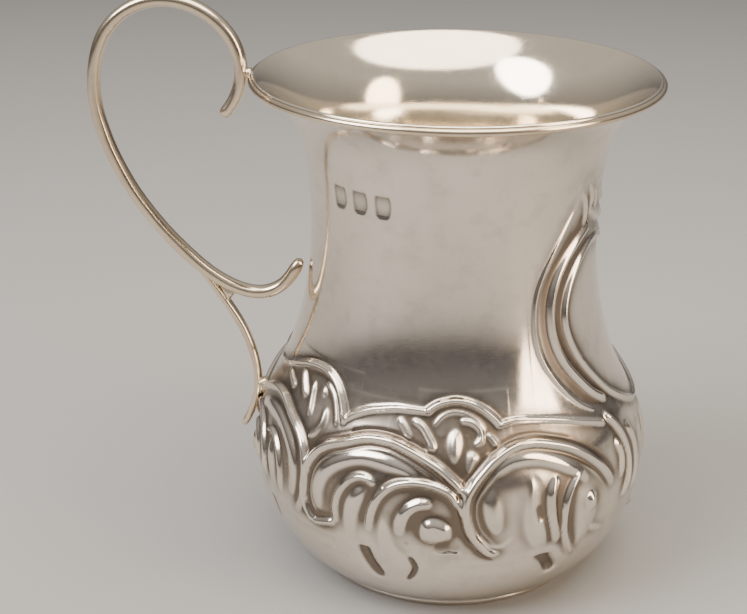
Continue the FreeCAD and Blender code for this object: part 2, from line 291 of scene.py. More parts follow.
def inside(block, outline_places):
    turn, climb = np.meshgrid(TURNS[block[0]], CLIMBS[block[1]], indexing="ij")
    result = np.zeros(turn.shape, bool)
    x, y = outline_places[:, 0], outline_places[:, 1]
    for x1, y1, x2, y2 in zip(x, y, np.roll(x, -1), np.roll(y, -1)):
        crosses = (y1 > climb) != (y2 > climb)
        at = (x2 - x1) * (climb - y1) / (y2 - y1 + 1e-12) + x1
        result ^= crosses & (turn < at)
    return result


def lobe(places, rise, swell, lean=None):
    """A cushion raised (or a dish sunk) inside a closed outline. Swell is how far in from
    the outline it reaches its full height. Lean is the direction, across and up, of the
    side where it stays full, and it fades towards the other side."""
    path = flowing(places, closed=True)
    block = window(path, 1.0)
    gap, _ = nearest(block, in_space(np.concatenate([path, path[:1]])))
    share = np.clip(gap / swell, 0, 1)
    shape = rise * share**2 * (3 - 2 * share) * inside(block, path)
    if lean:
        shape = shape * leaning(block, path, lean)
    if rise > 0:
        height[block] = softer_max(shape, height[block])
    else:
        height[block] += shape


def leaning(block, path, lean):
    """A share from 0.2 to 1 that grows across a closed outline in one direction."""
    turn, climb = np.meshgrid(TURNS[block[0]], CLIMBS[block[1]], indexing="ij")
    middle = path.mean(axis=0)
    scale = math.radians(1) * float(on_outline(middle[1:])[0][0])
    size = math.hypot(*lean)
    across, up = lean[0] / size, lean[1] / size
    reach = ((path[:, 0] - middle[0]) * scale * across + (path[:, 1] - middle[1]) * up).max()
    place_in = ((turn - middle[0]) * scale * across + (climb - middle[1]) * up) / reach
    part = np.clip(0.5 + 0.5 * place_in, 0, 1)
    return 0.2 + 0.8 * part * part * (3 - 2 * part)


def stipple(places, pitch=0.85, depth=0.2, drop=0.2):
    """Ground matted with small round punch marks, and sunk a little below the rest."""
    path = flowing(places, closed=True)
    block = window(path, 1.0)
    within = inside(block, path)
    gap, _ = nearest(block, in_space(np.concatenate([path, path[:1]])))
    edge = np.clip(gap / 0.8, 0, 1) * within
    height[block] -= drop * edge
    matting[block] = np.maximum(matting[block], edge)
    radius = float(on_outline(np.array([path[:, 1].mean()]))[0][0])
    turn_pitch = math.degrees(pitch / radius)
    turns = np.arange(path[:, 0].min(), path[:, 0].max(), turn_pitch)
    climbs = np.arange(path[:, 1].min(), path[:, 1].max(), pitch)
    for climb in climbs:
        for turn in turns:
            place = (
                turn + turn_pitch * random.uniform(-0.5, 0.5),
                climb + pitch * random.uniform(-0.5, 0.5),
            )
            size = random.uniform(0.26, 0.38)
            column = int(np.searchsorted(TURNS, place[0]))
            row = int(np.searchsorted(CLIMBS, place[1]))
            area = (slice(max(0, column - 4), column + 5), slice(max(0, row - 4), row + 5))
            centre = in_space([place])[0]
            away = ((GRID[area] - centre) ** 2).sum(2)
            height[area] -= depth * np.exp(-away / size**2) * covered(area, block, edge)


def covered(area, block, edge):
    """The part of an edge mask, given on a block, that lies under a smaller area."""
    whole = np.zeros((area[0].stop - area[0].start, area[1].stop - area[1].start))
    columns = np.arange(area[0].start, area[0].stop)
    rows = np.arange(area[1].start, area[1].stop)
    keep_c = (columns >= block[0].start) & (columns < block[0].stop)
    keep_r = (rows >= block[1].start) & (rows < block[1].stop)
    part = edge[np.ix_(columns[keep_c] - block[0].start, rows[keep_r] - block[1].start)]
    whole[np.ix_(keep_c, keep_r)] = part
    shape = GRID[area].shape[:2]
    return whole[: shape[0], : shape[1]]


def beside(places, distance):
    """The line that runs beside another, to its left by a distance in millimetres."""
    path = flowing(places)
    radius = on_outline(path[:, 1])[0]
    scale = np.radians(1) * radius
    step = np.gradient(path, axis=0)
    flat = np.stack([step[:, 0] * scale, step[:, 1]], 1)
    flat /= np.hypot(*flat.T)[:, None]
    moved = path + np.stack([-flat[:, 1] / scale, flat[:, 0]], 1) * distance
    return moved[::6]


def mirrored(places, about):
    return [(2 * about - turn, climb) for turn, climb in places]


# The border along the top of the belly: a low arch in the middle of the front, and a
# scroll to each side of it.
BORDER_LEFT = ((-33.5, 37.6), (-30, 39.2), (-25, 40.6), (-20, 41.3), (-14, 41.8), (-5, 41.8))
BORDER_ARCH = (
    (-5.5, 41.6), (-2, 42.8), (2, 43.4), (5, 43.5), (9, 43.1), (13, 42.1), (16, 40.9), (18.5, 39.5),
)
BORDER_RIGHT = ((18, 39.8), (24, 40.1), (32, 39.6), (41, 38.5), (50, 37), (57.5, 35.6))
INNER_ARCH = ((-2.5, 39.6), (-0.5, 41), (3, 41.8), (7, 41.6), (11, 40.6), (13.5, 39))
LEFT_SCROLL = (
    (7, 29.5), (5, 31.1), (0, 33.4), (-5, 34.9), (-10, 36), (-16, 36.8), (-23, 36.6), (-30, 35.2),
    (-35.5, 33.9), (-39, 32.3), (-41.2, 30), (-42, 27), (-41.5, 24.5), (-40, 22.7), (-37.8, 21.2),
)
LEFT_HOOK = ((-38, 21.3), (-34, 21.9), (-30.5, 22.6))
RIGHT_SCROLL = (
    (16.5, 19.7), (13.7, 20.3), (11, 21.9), (8.4, 24), (7.1, 26.7), (7.4, 29.3), (9.6, 31.5),
    (12.4, 33.2), (15.8, 34.8), (20, 36), (24, 36.5), (29, 36.4), (34, 35.7), (39, 34.7),
    (44, 33.1), (48.5, 31.1), (52, 29), (55.7, 26),
)


def left_interior(place):
    """The leaves curled inside the scroll left of the middle."""
    path = [
        place(p) for p in (
            (-36, 23.5), (-36.8, 27), (-34.5, 30.2), (-29, 32.6), (-22, 33.8), (-13, 33.4),
            (-5, 32),
        )
    ]
    line_relief(path, 3.2, 0.45, (0.25, 0.3))
    crescent = [
        place(p) for p in (
            (-30, 22.5), (-30.2, 25.6), (-28.9, 28), (-26.6, 29.8), (-23.6, 30.8), (-20.5, 30.8),
            (-18.6, 30.1),
        )
    ]
    leaf = [
        place(p) for p in (
            (-29, 23.5), (-28.2, 27), (-25, 29.4), (-21, 29.9), (-19.6, 27.6), (-20.8, 24.5),
            (-22.5, 21.3), (-25, 19.4), (-27.8, 20.6),
        )
    ]
    lobe(leaf, 0.75, 2.4, (-1.0, 0.6))
    line_relief(crescent, 1.3, 0.75, (0.15, 0.15))
    belly = [
        place(p) for p in (
            (-19, 24), (-16, 26.5), (-12.5, 24.5), (-10.8, 21.5), (-8, 19), (-7.6, 16.2),
            (-9.8, 14.1), (-13.5, 13), (-17, 13.8), (-18.6, 17), (-19.6, 20.5),
        )
    ]
    lobe(belly, 0.75, 3.4, (1.0, 0.3))
    bowl = [
        place(p) for p in (
            (-15.5, 25.5), (-13.5, 28.2), (-9, 29.9), (-3, 30), (2.5, 28.8), (4.8, 26.5), (4, 23.5),
            (0, 21.6), (-5, 21.8), (-9, 23), (-11.5, 25),
        )
    ]
    lobe(bowl, -0.45, 1.8)
    rim = [
        place(p) for p in (
            (-19.8, 22.6), (-19.3, 25.3), (-17.8, 27.8), (-15.6, 29.5), (-12.6, 30.7), (-8.5, 31.3),
            (-4, 31.3), (0, 30.8), (3, 29.9), (5, 28.4), (6, 26.5),
        )
    ]
    line_relief(rim, 1.5, 0.85, (0.12, 0.1))
    tongue = [place(p) for p in ((-11, 22.8), (-10.6, 25), (-9, 26.9), (-6, 28.1), (-2.2, 28.4))]
    line_relief(tongue, 2.2, 0.75, (0.3, 0.2))
    boss = [
        place(p) for p in (
            (-6.2, 24), (-5.2, 25.8), (-2, 26.7), (1.5, 26.3), (4, 25), (4, 23), (1.5, 21.9),
            (-2, 21.6), (-5.2, 22.3),
        )
    ]
    lobe(boss, 0.95, 1.7)
    slot = [place(p) for p in ((-0.8, 20.5), (1.2, 21.3), (3.5, 21.5), (5.4, 21))]
    line_relief(
        [place(p) for p in ((-1.5, 19.9), (1.5, 20.3), (4, 20.3), (6.2, 20))], 1.1, 0.5, (0.3, 0.3),
    )
    line_relief(slot, 1.9, -1.3, (0.25, 0.25), 0.6)
    left_hollow = [place(p) for p in ((-22, 20.5), (-21.4, 17.5), (-19.8, 15), (-17.5, 12.8))]
    line_relief(left_hollow, 3.2, -0.7, (0.35, 0.35))
    edge = [place(p) for p in ((-8.2, 19), (-6.9, 16.8), (-7.6, 15), (-9.6, 13.3))]
    line_relief(edge, 1.3, -0.6, (0.4, 0.4))
    dot = [place(p) for p in ((-9.4, 21.4), (-8.6, 21.7))]
    line_relief(dot, 0.9, -0.3, (0.3, 0.3))


def same(place):
    return place


SIDE_MIRROR = -42.0


def to_side(place):
    return 2 * SIDE_MIRROR - place[0], place[1]


# Matted grounds come first, then what stands on them.
stipple(
    (
        (-29, 38.4), (-22, 40.4), (-12, 41.2), (-5, 41.1), (-1, 42.5), (4, 43), (10, 42.3),
        (15, 40.6), (19, 39), (26, 39.4), (36, 38.6), (47, 36.9), (56, 34.8), (50, 33.4), (42, 35),
        (33, 37), (24, 37.8), (17, 36.6), (11, 34.4), (7, 31.2), (2, 34), (-6, 36), (-15, 38),
        (-23, 38),
    )
)
stipple(
    (
        (-84, 38.2), (-72, 40), (-60, 42.2), (-50, 43.3), (-42, 42.5), (-36.5, 40.2), (-33.8, 37.6),
        (-38, 35), (-43, 32.8), (-47, 35.8), (-55, 37.6), (-64, 38.4), (-75, 37), (-86, 34.5),
        (-90, 34.5), (-90, 38),
    )
)
stipple(
    (
        (36.5, 58.5), (35.2, 55), (35.4, 51.5), (37, 48.3), (40.5, 45.2), (46, 41.9), (52, 39),
        (60, 38.4), (55, 40.6), (49.5, 43.4), (44.8, 46.3), (41.6, 49.5), (40.2, 53), (40.6, 56.5),
        (43.5, 59.9), (49, 62.5), (56, 64.6), (63, 66.6), (56.5, 68.5), (49, 65.4), (41.5, 61.4),
    ),
    0.8, 0.14, 0.12,
)

for lay in (same, to_side):
    left_interior(lay)

# Inside the scroll right of the middle: a tear drop, a rolled leaf and a curled one.
line_relief(
    ((14.5, 32.6), (20, 34.3), (27, 34.4), (34, 33.2), (40.5, 31), (45, 28.5)), 3.4, 0.5,
    (0.3, 0.35),
)
lobe(
    (
        (10.2, 29), (10.8, 26), (12.8, 23.9), (15.6, 22.9), (18, 24), (18.8, 27), (18, 30),
        (15.6, 32), (12.4, 31.4),
    ),
    0.8, 2.2, (-0.6, -1.0),
)
line_relief(
    ((10.6, 24.3), (12.2, 22.4), (14.8, 21.4), (17.6, 21.3), (20.2, 22.6)), 0.9, 0.35, (0.3, 0.3),
)
lobe(
    (
        (22.2, 29.2), (20.8, 26.5), (20.9, 23.8), (23, 21.2), (26.5, 19.4), (31, 19.4), (32.4, 22),
        (31.2, 25), (29.4, 28), (28.2, 31), (24.6, 31.6),
    ),
    0.85, 3.0, (0.8, -0.4),
)
line_relief(((27, 31.6), (28.8, 29), (30.4, 26), (31.8, 23), (32.6, 20.5)), 1.3, -0.6, (0.3, 0.3))
line_relief(((33.8, 31), (31.9, 28.5), (31.8, 25.5), (33, 22.5), (34.5, 20)), 2.2, 0.75, (0.3, 0.3))
line_relief(((27.2, 27.2), (28.2, 24.6)), 1.6, -0.35, (0.4, 0.4))
lobe(
    (
        (38, 31), (36.2, 27.5), (36, 24), (37.5, 20.5), (41, 17), (46, 18), (49.5, 21), (50.5, 25),
        (47, 29),
    ),
    0.5, 3.4, (1.0, -0.3),
)
line_relief(
    ((43.5, 30.6), (39.6, 29.4), (36.9, 27), (35.9, 24), (36.6, 21.2), (39, 18.4), (41.8, 16)), 1.5,
    0.85, (0.2, 0.2),
)
lobe(
    (
        (42.4, 25.2), (43.5, 26.8), (46, 27.4), (48.4, 26.2), (48.6, 24.4), (46.6, 23.2),
        (43.8, 23.4),
    ),
    0.95, 1.6,
)
line_relief(((46, 20.8), (49.5, 19.6), (53, 18.6)), 1.4, 0.5, (0.4, 0.4))
line_relief(((28.6, 18.8), (31.5, 16.9), (34.2, 14.8), (36.2, 13)), 3.0, -0.95, (0.35, 0.3))

# The flower bud and its leaves under the arch in the middle.
lobe(
    (
        (4, 39.8), (1.4, 38.8), (0.6, 37), (1.6, 34.9), (4, 33.8), (6.2, 35.2), (7.2, 37.2),
        (6.4, 39),
    ),
    0.75, 1.8,
)
line_relief(((-9.5, 40.3), (-6.5, 39.6), (-4.2, 38.2), (-2.6, 36.6), (-4.8, 35.9)), 1.3, 0.6, (0.2, 0.3))
line_relief(((-14, 40.3), (-11.5, 39), (-9.6, 37.4)), 1.4, 0.45, (0.3, 0.3))
line_relief(((5.6, 40.6), (9, 40.3), (11.6, 39.2), (11.9, 37.8), (9.9, 36.9)), 1.2, 0.65, (0.2, 0.25))
lobe(((6.8, 36.1), (9.6, 36.4), (11.6, 35.2), (9.8, 33.6), (7.8, 31.8), (6.6, 33.6)), 0.6, 1.4)
line_relief(((13.6, 38.6), (15.4, 37.6), (16.8, 36.4)), 1.1, 0.45, (0.3, 0.3))
lobe(((36, 38.2), (38.8, 38), (40.2, 36.9), (38.4, 36.2), (36.2, 36.9)), -0.35, 0.9)

# The arched panel towards the handle, with leaves on matted ground.
line_relief(((-58, 42.4), (-55, 40.6), (-51.5, 38.8)), 1.8, 0.6, (0.3, 0.3))
lobe(((-45.6, 41.8), (-43.4, 41.9), (-41.8, 40.8), (-42.8, 39.9), (-45, 40.3)), 0.6, 1.0)
line_relief(((-41, 38.8), (-40.2, 36.8), (-41.5, 35), (-44, 33.8)), 1.4, 0.55, (0.3, 0.3))
line_relief(((-68, 40.6), (-63.5, 39.7), (-59.5, 39)), 1.4, 0.5, (0.3, 0.3))
line_relief(((-50, 41.8), (-48.5, 39.2), (-46.6, 36.6)), 1.3, 0.5, (0.3, 0.3))

# Towards the side opposite the handle: a scroll under the foot of the blank shield.
line_relief(
    ((58.5, 36.8), (61.5, 34.8), (64, 32), (65.4, 28.6), (64.8, 25.2), (62, 22.2)), 1.8, 0.8,
    (0.12, 0.2),
)
line_relief(((60, 32.6), (61.6, 29.4), (60.6, 26)), 1.8, 0.6, (0.3, 0.3))
line_relief(((68.5, 33.4), (71.5, 29.8), (72, 25.5), (69.6, 21.5)), 2.2, 0.6, (0.25, 0.3))
lobe(
    (
        (76, 31.5), (74.6, 27.5), (76.4, 23), (80, 20.4), (84, 22), (84.6, 26.5), (82.5, 31),
        (79, 33),
    ),
    0.7, 3.0, (0.6, 0.8),
)
line_relief(((87.8, 33), (88.6, 28), (90, 23.5), (91.4, 28), (92.2, 33)), 1.2, 0.6, (0.2, 0.2))
line_relief(((72, 19), (78, 17), (84, 16), (90, 15.8), (96, 16)), 1.6, 0.5, (0.2, 0.0))

# The blank shield's frame of three lines, climbing the neck opposite the handle.
line_relief(
    (
        (57.5, 71.6), (51, 68), (43, 63.4), (38, 60.2), (35, 57), (34.1, 53), (35.2, 49.4),
        (38.4, 46.1), (43.2, 42.9), (49, 40), (55, 37.9),
    ),
    1.0, 0.4, (0.12, 0.05),
)
line_relief(
    (
        (65.5, 65.8), (61.5, 65.2), (55.3, 63.7), (49.6, 61.8), (45, 59.4), (42.2, 56.3),
        (41.6, 52.6), (43.2, 49.3), (46.5, 46.3), (51.4, 43.4), (57, 40.6), (63, 38.6),
    ),
    2.0, 0.75, (0.05, 0.05),
)
SHIELD_EDGE = (
    (90, 61.6), (84.5, 62.1), (76, 63), (68, 63), (61.7, 61.8), (56.1, 59.8), (51.4, 57.1),
    (49, 54.3), (48.9, 51.7), (51.3, 48.5), (55.3, 45.4), (60.1, 42.6), (65.5, 39.8), (71.5, 37.4),
    (78, 35.4), (84, 34.3), (90, 34),
)
line_relief(SHIELD_EDGE, 1.5, 0.7, (0.0, 0.0))
line_relief(((64.5, 68.3), (70, 67.2), (76, 66.2), (84, 65.4), (90, 65.2)), 1.5, 0.6, (0.1, 0.0))
line_relief(((57.4, 71.8), (60.6, 69.8), (61.6, 67.4), (59.8, 66.4)), 1.4, 0.5, (0.2, 0.3))
line_relief(((62.5, 72.6), (65.5, 70.6), (66, 68.6)), 1.3, 0.5, (0.25, 0.3))
line_relief(((68.5, 71.4), (70.5, 69.6), (70.4, 67.8)), 1.2, 0.45, (0.25, 0.3))
line_relief(((75, 71), (78.5, 69), (83, 68.2), (90, 68)), 1.4, 0.5, (0.3, 0.0))

# The strong outlines last, so that they stand over everything.
line_relief(BORDER_LEFT, 1.0, 0.6, (0.15, 0.02))
line_relief(BORDER_ARCH, 1.3, 0.8, (0.03, 0.03))
line_relief(INNER_ARCH, 0.8, 0.35, (0.1, 0.1))
line_relief(BORDER_RIGHT, 1.1, 0.7, (0.02, 0.1))
line_relief(LEFT_SCROLL, 1.9, 1.0, (0.06, 0.03))
line_relief(beside(LEFT_SCROLL, -1.25), 0.8, -0.3, (0.15, 0.1))
line_relief(beside(LEFT_SCROLL, 1.55), 0.7, 0.35, (0.3, 0.1))
line_relief(LEFT_HOOK, 1.7, 0.85, (0.05, 0.3))
line_relief(RIGHT_SCROLL, 1.9, 1.0, (0.08, 0.06))
line_relief(beside(RIGHT_SCROLL, 1.25), 0.8, -0.3, (0.2, 0.15))
line_relief(beside(RIGHT_SCROLL, -1.55), 0.7, 0.3, (0.3, 0.15))
SIDE_SCROLL = mirrored(LEFT_SCROLL, SIDE_MIRROR)
line_relief(SIDE_SCROLL, 1.7, 0.9, (0.06, 0.12))
line_relief(
    (
        (-90, 39.4), (-80, 39.9), (-70, 41.3), (-62, 42.7), (-54, 43.9), (-47, 44.3), (-42, 43.8),
        (-38, 42.5), (-34.8, 40.4), (-32, 37.6),
    ),
    1.4, 0.8, (0.35, 0.05),
)
line_relief(((-44, 42.6), (-39.5, 41.3), (-36.6, 39.2), (-34.6, 37)), 0.9, 0.45, (0.2, 0.1))

# Three blank punched shields, side by side on the near side of the neck only.
unpunched = height.copy()
for turn in (-45.0, -34.8, -24.6):
    lobe(
        (
            (turn - 3.6, 70), (turn - 3.6, 72.8), (turn, 73.1), (turn + 3.6, 72.8),
            (turn + 3.6, 70), (turn, 69.3),
        ),
        -0.25, 0.45,
    )
punches = height - unpunched
height = unpunched


def blurred(values, columns, rows):
    """Values on the half grid, averaged over a window of columns and rows."""
    for axis, radius in ((0, columns), (1, rows)):
        for _ in range(2):
            mode = "reflect" if axis == 0 else "edge"
            widths = [(0, 0), (0, 0)]
            widths[axis] = (radius, radius)
            padded = np.pad(values, widths, mode=mode)
            total = np.cumsum(padded, axis=axis)
            zero = np.zeros_like(np.take(total, [0], axis))
            total = np.concatenate([zero, total], axis)
            span = 2 * radius + 1
            count = values.shape[axis]
            high = np.take(total, np.arange(span, span + count), axis)
            low = np.take(total, np.arange(0, count), axis)
            values = (high - low) / span
    return values


height = blurred(height, 1, 1) * 0.6 + height * 0.4
fine_recess = (blurred(height, 5, 4) - height) * 5.0
broad_recess = (blurred(height, 12, 10) - height) * 1.8
recess = np.clip(fine_recess + broad_recess, 0, 1)
recess = np.clip(recess + 0.25 * matting, 0, 1)
inner_height = blurred(height, 3, 3)


# ---------------------------------------------------------------- meshes


def add_mesh(name, points, faces, material, attributes=()):
    """A smooth-shaded mesh from points in millimetres."""
    mesh = bpy.data.meshes.new(name)
    points = np.asarray(points, float) * MM
    faces = [np.asarray(f, np.int64) for f in faces if len(f)]
    totals = np.concatenate([np.full(len(f), f.shape[1]) for f in faces])
    corners = np.concatenate([f.ravel() for f in faces])
    mesh.vertices.add(len(points))
    mesh.vertices.foreach_set("co", points.astype(np.float32).ravel())
    mesh.loops.add(len(corners))
    mesh.loops.foreach_set("vertex_index", corners.astype(np.int32))
    mesh.polygons.add(len(totals))
    starts = np.concatenate([[0], np.cumsum(totals)[:-1]])
    mesh.polygons.foreach_set("loop_start", starts.astype(np.int32))
    mesh.polygons.foreach_set("loop_total", totals.astype(np.int32))
    mesh.polygons.foreach_set("use_smooth", np.ones(len(totals), bool))
    mesh.update(calc_edges=True)
    mesh.validate()
    for label, values in attributes:
        layer = mesh.attributes.new(label, "FLOAT", "POINT")
        layer.data.foreach_set("value", np.asarray(values, np.float32).ravel())
    obj = bpy.data.objects.new(name, mesh)
    bpy.context.scene.collection.objects.link(obj)
    mesh.materials.append(material)
    return obj


def ring_faces(columns, rows, close_rows):
    """Faces of a grid that closes round its columns, and round its rows if asked."""
    c = np.arange(columns)[:, None]
    r = np.arange(rows if close_rows else rows - 1)[None]
    c2 = (c + 1) % columns
    r2 = (r + 1) % rows
    quads = np.stack([c * rows + r, c2 * rows + r, c2 * rows + r2, c * rows + r2], 2)
    return quads.reshape(-1, 4)


def turned(name, section, columns, material, wobble=0.0):
    """A closed section, anticlockwise as (distance from the axis, height), turned round Z."""
    section = np.asarray(section, float)
    angles = np.linspace(0, 2 * np.pi, columns, endpoint=False)
    drift = 1 + wobble * np.sin(3 * angles + 0.7)[:, None]
    radius = section[None, :, 0] * drift
    points = np.stack(
        [
            radius * np.sin(angles)[:, None],
            -radius * np.cos(angles)[:, None],
            np.broadcast_to(section[None, :, 1], radius.shape),
        ],
        2,
    )
    return add_mesh(name, points.reshape(-1, 3), [ring_faces(columns, len(section), True)], material)


def whole_turn(values):
    """A half grid of values, mirrored about the handle's plane to go all the way round."""
    return np.concatenate([values, values[-2:0:-1]])


def shell_mesh(material):
    turns = np.radians(np.concatenate([TURNS, 180 - TURNS[-2:0:-1]]))
    outer = whole_turn(height)
    hollow = whole_turn(recess)
    outer[:HALF_COLUMNS] += punches
    hollow[:HALF_COLUMNS] += np.clip((blurred(punches, 2, 2) - punches) * 5.0, 0, 1) - punches
    matted = whole_turn(matting)
    inner_rows = np.concatenate(
        [np.arange(0, 12, 1.2), np.arange(12, 75, 0.9), np.linspace(75, TOP_CLIMB, 12)]
    )
    shifted = np.stack([np.interp(inner_rows, CLIMBS, column) for column in whole_turn(inner_height)])
    radius_out = FACE_R[None] + OUT_R[None] * outer
    up_out = FACE_Z[None] + OUT_Z[None] * outer
    face_r, face_z, out_r, out_z = on_outline(inner_rows)
    depth = shifted * 0.85 - WALL
    radius_in = (face_r[None] + out_r[None] * depth)[:, ::-1]
    up_in = (face_z[None] + out_z[None] * depth)[:, ::-1]
    tip_r, tip_z, tip_out_r, tip_out_z = (float(v[-1]) for v in (FACE_R, FACE_Z, OUT_R, OUT_Z))
    mid = (tip_r - tip_out_r * WALL / 2, tip_z - tip_out_z * WALL / 2)
    rounding = np.linspace(0, np.pi, 9)[1:-1]
    lip_r = mid[0] + WALL / 2 * (np.cos(rounding) * tip_out_r - np.sin(rounding) * tip_out_z)
    lip_z = mid[1] + WALL / 2 * (np.cos(rounding) * tip_out_z + np.sin(rounding) * tip_out_r)
    columns = len(turns)
    radius = np.concatenate([radius_out, np.tile(lip_r, (columns, 1)), radius_in], 1)
    up = np.concatenate([up_out, np.tile(lip_z, (columns, 1)), up_in], 1)
    points = np.stack([radius * np.sin(turns)[:, None], -radius * np.cos(turns)[:, None], up], 2)
    rows = radius.shape[1]
    rest = np.zeros((columns, rows - outer.shape[1]))
    attributes = [
        ("recess", np.concatenate([hollow, rest], 1)),
        ("matting", np.concatenate([matted, rest], 1)),
        ("inside", np.concatenate([np.zeros_like(outer), rest + 1], 1)),
    ]
    return add_mesh(
        "body_shell_skin", points.reshape(-1, 3), [ring_faces(columns, rows, True)], material, attributes
    )


def bend_path(start, heading, bends, side, step=0.3):
    """Centre line of a wire in the handle's plane: its points, and the direction at each."""
    point = np.array(start, float)
    heading = math.radians(heading)
    points, headings = [point], [heading]
    for radius, angle in bends:
        inward = np.array((-math.sin(heading), math.cos(heading))) * side
        centre = point + inward * radius
        turn = math.radians(angle)
        count = max(3, int(radius * turn / step))
        for k in range(1, count + 1):
            now = heading + side * turn * k / count
            points.append(centre - np.array((-math.sin(now), math.cos(now))) * side * radius)
            headings.append(now)
        heading += side * turn
        point = points[-1]
    line = smooth_along(resample(np.array(points), 0.25), 6)
    slope = np.gradient(line, axis=0)
    slope /= np.hypot(*slope.T)[:, None]
    return line, slope


def strap(name, path, width, thickness, material, first_end, last_end):
    """An oval wire along a path. Each end is (length, share): over the last length in
    millimetres the section shrinks to a share of its size."""
    line, slope = path
    around = np.linspace(0, 2 * np.pi, 28, endpoint=False)
    across = np.sign(np.cos(around)) * np.abs(np.cos(around)) ** WIRE_ROUNDNESS * width / 2
    high = np.sign(np.sin(around)) * np.abs(np.sin(around)) ** WIRE_ROUNDNESS * thickness / 2
    along = np.concatenate([[0], np.cumsum(np.hypot(*np.diff(line, axis=0).T))])
    total = along[-1]
    scale = np.ones(len(line))
    for distance, (length, share) in ((along, first_end), (total - along, last_end)):
        part = np.clip(distance / length, 0, 1)
        scale *= share + (1 - share) * np.sqrt(1 - (1 - part) ** 2)
    hand = 1 + 0.018 * np.sin(along * 0.31 + 0.5) + 0.012 * np.sin(along * 0.83)
    across_all = across[None] * (scale * hand)[:, None]
    high_all = high[None] * (scale * (2 - hand))[:, None]
    x = line[:, 0, None] - slope[:, 1, None] * high_all
    z = line[:, 1, None] + slope[:, 0, None] * high_all
    points = np.stack([x, across_all, z], 2)
    sides = len(around)
    count = len(line)
    c = np.arange(count - 1)[:, None]
    k = np.arange(sides)[None]
    k2 = (k + 1) % sides
    quads = np.stack([c * sides + k, c * sides + k2, (c + 1) * sides + k2, (c + 1) * sides + k], 2)
    centres = np.array([[line[0, 0], 0, line[0, 1]], [line[-1, 0], 0, line[-1, 1]]])
    every = np.concatenate([points.reshape(-1, 3), centres])
    one = count * sides
    ring = np.arange(sides)
    first = np.stack([np.full(sides, one), (ring + 1) % sides, ring], 1)
    last_row = (count - 1) * sides
    last = np.stack([np.full(sides, one + 1), last_row + ring, last_row + (ring + 1) % sides], 1)
    return add_mesh(name, every, [quads.reshape(-1, 4), first, last], material)


def blob(name, centre, half, material, power=0.7, lumps=0.04):
    """A small block with well rounded corners, as filed solder is."""
    rows, columns = 24, 40
    latitude = np.linspace(-np.pi / 2, np.pi / 2, rows)
    longitude = np.linspace(0, 2 * np.pi, columns, endpoint=False)

    def soft(value):
        return np.sign(value) * np.abs(value) ** power

    lat, lon = np.meshgrid(latitude[1:-1], longitude, indexing="ij")
    shape = np.stack(
        [
            soft(np.cos(lat)) * soft(np.cos(lon)), soft(np.cos(lat)) * soft(np.sin(lon)),
            soft(np.sin(lat)),
        ],
        2,
    )
    shape = shape * (1 + lumps * np.sin(3 * lon + 4 * lat)[..., None])
    points = shape.reshape(-1, 3) * np.array(half) + np.array(centre)
    poles = np.array([(0, 0, -half[2]), (0, 0, half[2])]) + np.array(centre)
    n = len(points)
    r = np.arange(rows - 3)[:, None]
    c = np.arange(columns)[None]
    c2 = (c + 1) % columns
    quads = np.stack(
        [r * columns + c, r * columns + c2, (r + 1) * columns + c2, (r + 1) * columns + c], 2,
    )
    ring = np.arange(columns)
    south = np.stack([np.full(columns, n), (ring + 1) % columns, ring], 1)
    top = (rows - 3) * columns
    north = np.stack([np.full(columns, n + 1), top + ring, top + (ring + 1) % columns], 1)
    return add_mesh(
        name, np.concatenate([points, poles]), [quads.reshape(-1, 4), south, north], material,
    )


def wedge(name, corners, half_width, material):
    """The web of solder in the fork of the two wires, with hollow sides."""
    outline_points = []
    middle = np.mean(corners, axis=0)
    for first, second in zip(corners, corners[1:] + corners[:1]):
        first, second = np.array(first), np.array(second)
        for t in np.linspace(0, 1, 10, endpoint=False):
            point = first + (second - first) * t
            outline_points.append(point + (middle - point) * 0.5 * t * (1 - t))
    loop = np.array(outline_points)
    layers = []
    for y in np.linspace(-1, 1, 9):
        shrink = math.sqrt(max(0.0, 1 - 0.75 * y**4))
        ring = middle + (loop - middle) * shrink
        layers.append(np.stack([ring[:, 0], np.full(len(ring), y * half_width), ring[:, 1]], 1))
    points = np.concatenate(layers)
    count, around = len(layers), len(loop)
    r = np.arange(count - 1)[:, None]
    c = np.arange(around)[None]
    c2 = (c + 1) % around
    quads = np.stack([r * around + c, (r + 1) * around + c, (r + 1) * around + c2, r * around + c2], 2)
    caps = np.array([[middle[0], -half_width, middle[1]], [middle[0], half_width, middle[1]]])
    n = len(points)
    ring = np.arange(around)
    near = np.stack([np.full(around, n), ring, (ring + 1) % around], 1)
    top = (count - 1) * around
    far = np.stack([np.full(around, n + 1), top + (ring + 1) % around, top + ring], 1)
    return add_mesh(name, np.concatenate([points, caps]), [quads.reshape(-1, 4), near, far], material)


# ---------------------------------------------------------------- materials


